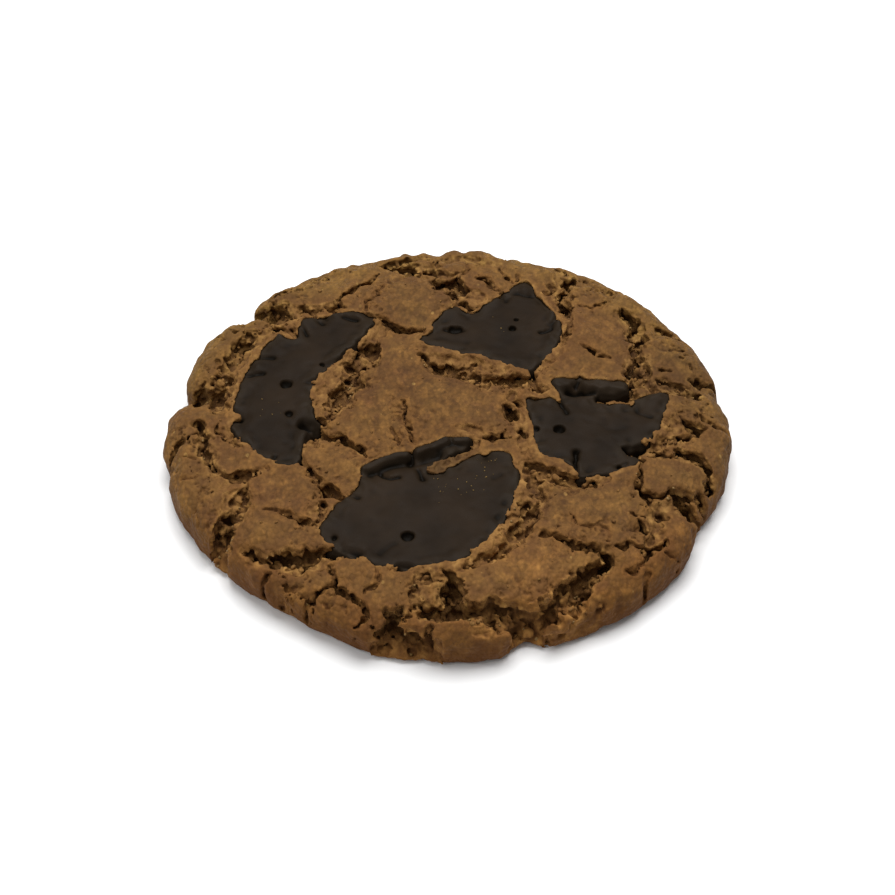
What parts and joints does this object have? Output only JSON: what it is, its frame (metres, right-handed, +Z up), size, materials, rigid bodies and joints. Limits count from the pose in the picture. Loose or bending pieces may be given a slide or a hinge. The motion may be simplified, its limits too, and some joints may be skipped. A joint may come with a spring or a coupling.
{
  "type": "dark chocolate cookie",
  "caption": "Round soft-baked dark cookie with a cracked, uneven crust, crumbling gaps between its plates and flat dark chocolate pieces set into the top.",
  "frame": {"origin": "under the middle of the cookie, on the surface it lies on", "axes": "+Z up through the thickness, -Y towards the front of the cookie as pictured, +X to its right"},
  "size_m": [0.091, 0.0906, 0.0095],
  "materials": {
    "crust": "matt baked crust, mottled brown, with a porous darker crumb in its cracks",
    "dark_chocolate": "set dark chocolate, matt to satin"
  },
  "bodies": {
    "root": {"cookie_dough": "crust", "chunk_left": "dark_chocolate", "chunk_back": "dark_chocolate", "chunk_right": "dark_chocolate", "chunk_front": "dark_chocolate"}
  },
  "joints": []
}
